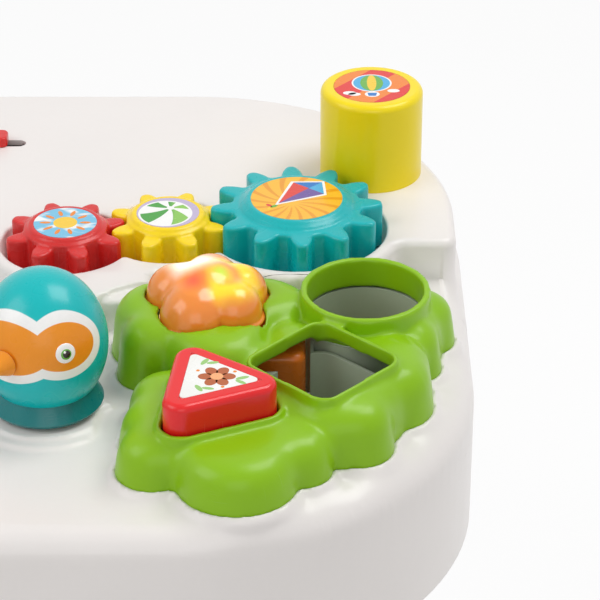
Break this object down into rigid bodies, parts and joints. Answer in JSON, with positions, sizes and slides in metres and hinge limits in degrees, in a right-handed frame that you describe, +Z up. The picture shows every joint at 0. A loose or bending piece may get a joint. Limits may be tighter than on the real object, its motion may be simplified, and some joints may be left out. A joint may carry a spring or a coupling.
{
  "type": "activity table",
  "caption": "Toddler activity table: rounded white body on four legs, lobed shape sorter, light button, meshed gears, spinner and keyboard.",
  "frame": {"origin": "on the floor, under the centre of the body", "axes": "+Z up, front towards -Y, +X to the right when seen from the front"},
  "size_m": [0.4, 0.38, 0.418],
  "materials": {
    "body_white": "smooth moulded",
    "cover_green": "smooth moulded",
    "tray_grey": "satin moulded",
    "block_orange": "smooth moulded",
    "block_red": "smooth moulded",
    "block_yellow": "smooth moulded",
    "gear_teal": "smooth moulded",
    "gear_yellow": "smooth moulded",
    "gear_red": "smooth moulded",
    "sticker": "printed film",
    "steel": "plated",
    "lens_orange": "translucent",
    "lamp_clear": "clear",
    "pad_rubber": "soft",
    "board_green": "lacquered board",
    "bird_teal": "smooth moulded",
    "bird_dark": "smooth moulded",
    "beak_orange": "smooth moulded",
    "key_red": "smooth moulded",
    "key_orange": "smooth moulded",
    "key_yellow": "smooth moulded",
    "key_green": "smooth moulded",
    "key_blue": "smooth moulded",
    "frame_teal": "smooth moulded",
    "black_plastic": "satin moulded",
    "cell_grey": "printed jacket",
    "leg_white": "smooth moulded",
    "pad_grey": "soft"
  },
  "bodies": {
    "table": {"top_shell": "body_white", "bottom_shell": "body_white", "sorter_tray": "tray_grey", "light_housing": "tray_grey", "light_board": "board_green", "lamp": "lamp_clear", "gear_pins": "steel", "gear_screws": "steel", "bird_pin": "steel", "bird_screw": "steel", "key_rod": "steel", "key_frame": "frame_teal", "key_tray": "body_white", "key_board": "board_green", "contact_strip": "pad_rubber", "speaker_grille": "gear_yellow", "speaker": "black_plastic", "switch_body": "black_plastic", "battery_door": "body_white", "batteries": "cell_grey", "battery_contacts": "steel", "door_screw": "steel", "case_screws": "steel", "main_board": "board_green", "leg_front_left": "leg_white", "leg_front_right": "leg_white", "leg_rear_left": "leg_white", "leg_rear_right": "leg_white", "foot_pads": "pad_grey"},
    "cover": {"sorter_cover": "cover_green"},
    "triangle": {"triangle_block": "block_red", "triangle_sticker": "sticker"},
    "square": {"square_block": "block_orange"},
    "round": {"round_block": "block_yellow", "round_sticker": "sticker"},
    "lens": {"light_lens": "lens_orange", "button_pad": "pad_rubber"},
    "teal_wheel": {"teal_gear": "gear_teal", "teal_sticker": "sticker"},
    "yellow_wheel": {"yellow_gear": "gear_yellow", "yellow_sticker": "sticker"},
    "red_wheel": {"red_gear": "gear_red", "red_sticker": "sticker"},
    "bird": {"bird_body": "bird_teal", "bird_beak": "beak_orange", "bird_base": "bird_dark"},
    "knob": {"switch_knob": "gear_red"},
    "note_1": {"key_1": "key_red"},
    "note_2": {"key_2": "key_orange"},
    "note_3": {"key_3": "key_yellow"},
    "note_4": {"key_4": "key_green"},
    "note_5": {"key_5": "key_blue"}
  },
  "joints": [
    {"name": "teal_spin", "type": "hinge", "parent": "table", "child": "teal_wheel", "pos_m": [0.1204, 0.039, 0.359], "axis": [0, 0, 1], "continuous": true},
    {"name": "yellow_spin", "type": "hinge", "parent": "table", "child": "yellow_wheel", "pos_m": [0.05955, 0.03474, 0.359], "axis": [0, 0, 1], "continuous": true},
    {"name": "red_spin", "type": "hinge", "parent": "table", "child": "red_wheel", "pos_m": [0.01182, 0.0246, 0.359], "axis": [0, 0, 1], "continuous": true},
    {"name": "bird_spin", "type": "hinge", "parent": "table", "child": "bird", "pos_m": [0.012, -0.091, 0.355], "axis": [0, 0, 1], "continuous": true},
    {"name": "button_press", "type": "slide", "parent": "cover", "child": "lens", "axis": [0, 0, -1], "range_m": [0, 0.0025], "stiffness_N_per_m": 300, "springref_m": -0.002, "deforming": ["button_pad"]},
    {"name": "cover_lift", "type": "slide", "parent": "table", "child": "cover", "axis": [0, 0, 1], "range_m": [0, 0.05]},
    {"name": "triangle_lift", "type": "slide", "parent": "cover", "child": "triangle", "axis": [0, 0, 1], "range_m": [0, 0.03]},
    {"name": "round_lift", "type": "slide", "parent": "table", "child": "round", "axis": [0, 0, 1], "range_m": [0, 0.05]},
    {"name": "square_slide", "type": "slide", "parent": "table", "child": "square", "axis": [0, 1, 0], "range_m": [-0.006, 0.0005]},
    {"name": "switch_slide", "type": "slide", "parent": "table", "child": "knob", "axis": [1, 0, 0], "range_m": [0, 0.012]},
    {"name": "key_1_press", "type": "hinge", "parent": "table", "child": "note_1", "pos_m": [-0.1468, -0.045, 0.3452], "axis": [1, 0, 0], "range_deg": [0, 3], "stiffness_Nm_per_rad": 0.15, "springref_deg": -4.58},
    {"name": "key_2_press", "type": "hinge", "parent": "table", "child": "note_2", "pos_m": [-0.1224, -0.045, 0.3452], "axis": [1, 0, 0], "range_deg": [0, 3], "stiffness_Nm_per_rad": 0.15, "springref_deg": -4.58},
    {"name": "key_3_press", "type": "hinge", "parent": "table", "child": "note_3", "pos_m": [-0.098, -0.045, 0.3452], "axis": [1, 0, 0], "range_deg": [0, 3], "stiffness_Nm_per_rad": 0.15, "springref_deg": -4.58},
    {"name": "key_4_press", "type": "hinge", "parent": "table", "child": "note_4", "pos_m": [-0.0736, -0.045, 0.3452], "axis": [1, 0, 0], "range_deg": [0, 3], "stiffness_Nm_per_rad": 0.15, "springref_deg": -4.58},
    {"name": "key_5_press", "type": "hinge", "parent": "table", "child": "note_5", "pos_m": [-0.0492, -0.045, 0.3452], "axis": [1, 0, 0], "range_deg": [0, 3], "stiffness_Nm_per_rad": 0.15, "springref_deg": -4.58}
  ],
  "couplings": [
    {"joint": "yellow_spin", "follows": "teal_spin", "ratio": -1.5},
    {"joint": "red_spin", "follows": "teal_spin", "ratio": 1.5}
  ]
}
